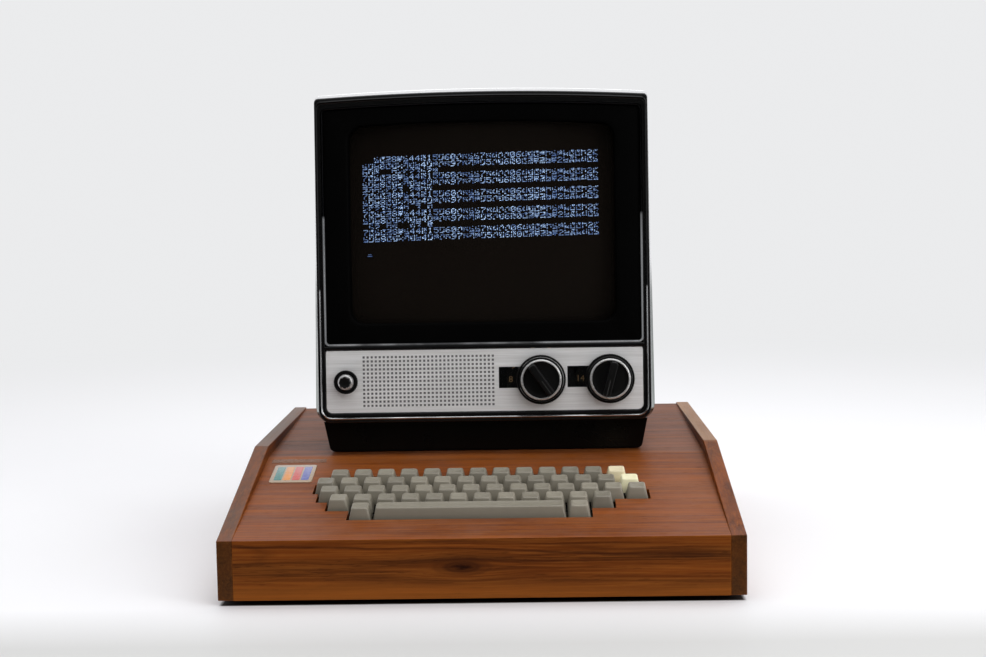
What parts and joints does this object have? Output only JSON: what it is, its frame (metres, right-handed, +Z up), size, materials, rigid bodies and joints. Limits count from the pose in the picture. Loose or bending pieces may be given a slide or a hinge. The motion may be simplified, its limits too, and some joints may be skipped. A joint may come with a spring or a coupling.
{
  "type": "home computer",
  "caption": "Wooden computer case with a sloping keyboard deck, and a small black television monitor standing on its rear deck.",
  "frame": {"origin": "on the table, under the middle of the case", "axes": "+X to the right seen from the keyboard, +Y to the back, +Z up"},
  "size_m": [0.4, 0.43, 0.3974],
  "materials": {
    "walnut": "oiled, horizontal grain",
    "plywood": "plain",
    "rubber": "matt",
    "screw_steel": "plain",
    "badge_enamel": "coloured bars",
    "clear_plastic": "clear",
    "plated_steel": "plated",
    "circuit_board": "solder mask",
    "switch_plastic": "moulded",
    "key_grey": "fine texture",
    "key_cream": "fine texture",
    "chip_black": "moulded",
    "chip_ceramic": "ceramic",
    "capacitor_blue": "sleeved",
    "aluminium": "plain",
    "transformer_iron": "varnished laminations",
    "gloss_black": "polished",
    "chrome": "polished",
    "screen_glass": "smoked",
    "coil_copper": "wound and taped",
    "satin_black": "fine texture",
    "brushed_plate": "finely brushed",
    "knob_black": "satin",
    "dial_black": "matt",
    "speaker_steel": "plain"
  },
  "bodies": {
    "case": {"left_side_panel": "walnut", "right_side_panel": "walnut", "front_panel": "walnut", "back_panel": "walnut", "keyboard_deck": "walnut", "rear_deck": "walnut", "floor_panel": "plywood", "glue_blocks": "plywood", "case_screws": "screw_steel", "case_feet": "rubber", "badge": "badge_enamel", "badge_label": "clear_plastic", "keyboard_plate": "plated_steel", "keyboard_board": "circuit_board", "keyboard_spacers": "screw_steel", "key_switches": "switch_plastic", "main_board": "circuit_board", "board_standoffs": "switch_plastic", "logic_chips": "chip_black", "processor": "chip_ceramic", "filter_capacitors": "capacitor_blue", "heat_sink": "aluminium", "power_transformers": "transformer_iron"},
    "monitor": {"front_bezel": "gloss_black", "bezel_trim": "chrome", "tube_mask": "gloss_black", "picture_tube": "screen_glass", "deflection_yoke": "coil_copper", "tube_socket": "switch_plastic", "cabinet": "gloss_black", "rear_cover": "satin_black", "rear_screws": "screw_steel", "antenna_terminals": "switch_plastic", "mains_inlet": "switch_plastic", "control_plate": "brushed_plate", "dial_windows": "clear_plastic", "volume_control": "dial_black", "tuners": "plated_steel", "speaker_frame": "speaker_steel", "chassis_board": "circuit_board", "pedestal": "satin_black", "pedestal_pads": "rubber"},
    "row_1_keys": {"keys_row_1": "key_grey"},
    "row_2_keys": {"keys_row_2": "key_grey"},
    "row_3_keys": {"keys_row_3": "key_grey"},
    "row_4_keys": {"keys_row_4": "key_grey"},
    "cream_key_1": {"cream_key_row_1": "key_cream"},
    "cream_key_2": {"cream_key_row_2": "key_cream"},
    "left_key": {"left_front_key": "key_grey"},
    "right_key": {"right_front_key": "key_grey"},
    "bar": {"space_bar": "key_grey"},
    "volume_outer": {"volume_ring": "knob_black"},
    "volume_inner": {"volume_knob": "knob_black"},
    "vhf_fine": {"vhf_fine_ring": "knob_black"},
    "vhf_selector": {"vhf_knob": "knob_black", "vhf_knob_ring": "chrome", "vhf_dial": "dial_black"},
    "uhf_selector": {"uhf_knob": "knob_black", "uhf_knob_ring": "chrome", "uhf_dial": "dial_black"}
  },
  "joints": [
    {"name": "press_row_1_keys", "type": "slide", "parent": "case", "child": "row_1_keys", "axis": [0, 0.1653, -0.9862], "range_m": [0, 0.0038], "stiffness_N_per_m": 1800, "springref_m": -0.002},
    {"name": "press_row_2_keys", "type": "slide", "parent": "case", "child": "row_2_keys", "axis": [0, 0.1653, -0.9862], "range_m": [0, 0.0038], "stiffness_N_per_m": 1950, "springref_m": -0.002},
    {"name": "press_row_3_keys", "type": "slide", "parent": "case", "child": "row_3_keys", "axis": [0, 0.1653, -0.9862], "range_m": [0, 0.0038], "stiffness_N_per_m": 2100, "springref_m": -0.002},
    {"name": "press_row_4_keys", "type": "slide", "parent": "case", "child": "row_4_keys", "axis": [0, 0.1653, -0.9862], "range_m": [0, 0.0038], "stiffness_N_per_m": 1800, "springref_m": -0.002},
    {"name": "press_cream_key_1", "type": "slide", "parent": "case", "child": "cream_key_1", "axis": [0, 0.1653, -0.9862], "range_m": [0, 0.0038], "stiffness_N_per_m": 150, "springref_m": -0.002},
    {"name": "press_cream_key_2", "type": "slide", "parent": "case", "child": "cream_key_2", "axis": [0, 0.1653, -0.9862], "range_m": [0, 0.0038], "stiffness_N_per_m": 150, "springref_m": -0.002},
    {"name": "press_left_key", "type": "slide", "parent": "case", "child": "left_key", "axis": [0, 0.1653, -0.9862], "range_m": [0, 0.0038], "stiffness_N_per_m": 150, "springref_m": -0.002},
    {"name": "press_right_key", "type": "slide", "parent": "case", "child": "right_key", "axis": [0, 0.1653, -0.9862], "range_m": [0, 0.0038], "stiffness_N_per_m": 150, "springref_m": -0.002},
    {"name": "press_bar", "type": "slide", "parent": "case", "child": "bar", "axis": [0, 0.1653, -0.9862], "range_m": [0, 0.0038], "stiffness_N_per_m": 450, "springref_m": -0.002},
    {"name": "lift_monitor", "type": "slide", "parent": "case", "child": "monitor", "axis": [0, -0.0265, 0.9996], "range_m": [0, 0.1]},
    {"name": "turn_volume_ring", "type": "hinge", "parent": "monitor", "child": "volume_outer", "pos_m": [-0.1198, -0.02918, 0.1455], "axis": [0, -0.9971, 0.0767], "range_deg": [-140, 140]},
    {"name": "turn_volume_knob", "type": "hinge", "parent": "monitor", "child": "volume_inner", "pos_m": [-0.1198, -0.02918, 0.1455], "axis": [0, -0.9971, 0.0767], "range_deg": [-250, 30]},
    {"name": "turn_vhf_fine_ring", "type": "hinge", "parent": "monitor", "child": "vhf_fine", "pos_m": [0.049, -0.02918, 0.1455], "axis": [0, -0.9971, 0.0767], "range_deg": [-150, 150]},
    {"name": "turn_vhf_selector", "type": "hinge", "parent": "monitor", "child": "vhf_selector", "pos_m": [0.049, -0.02918, 0.1455], "axis": [0, -0.9971, 0.0767], "continuous": true},
    {"name": "turn_uhf_selector", "type": "hinge", "parent": "monitor", "child": "uhf_selector", "pos_m": [0.1083, -0.02918, 0.1455], "axis": [0, -0.9971, 0.0767], "continuous": true}
  ]
}
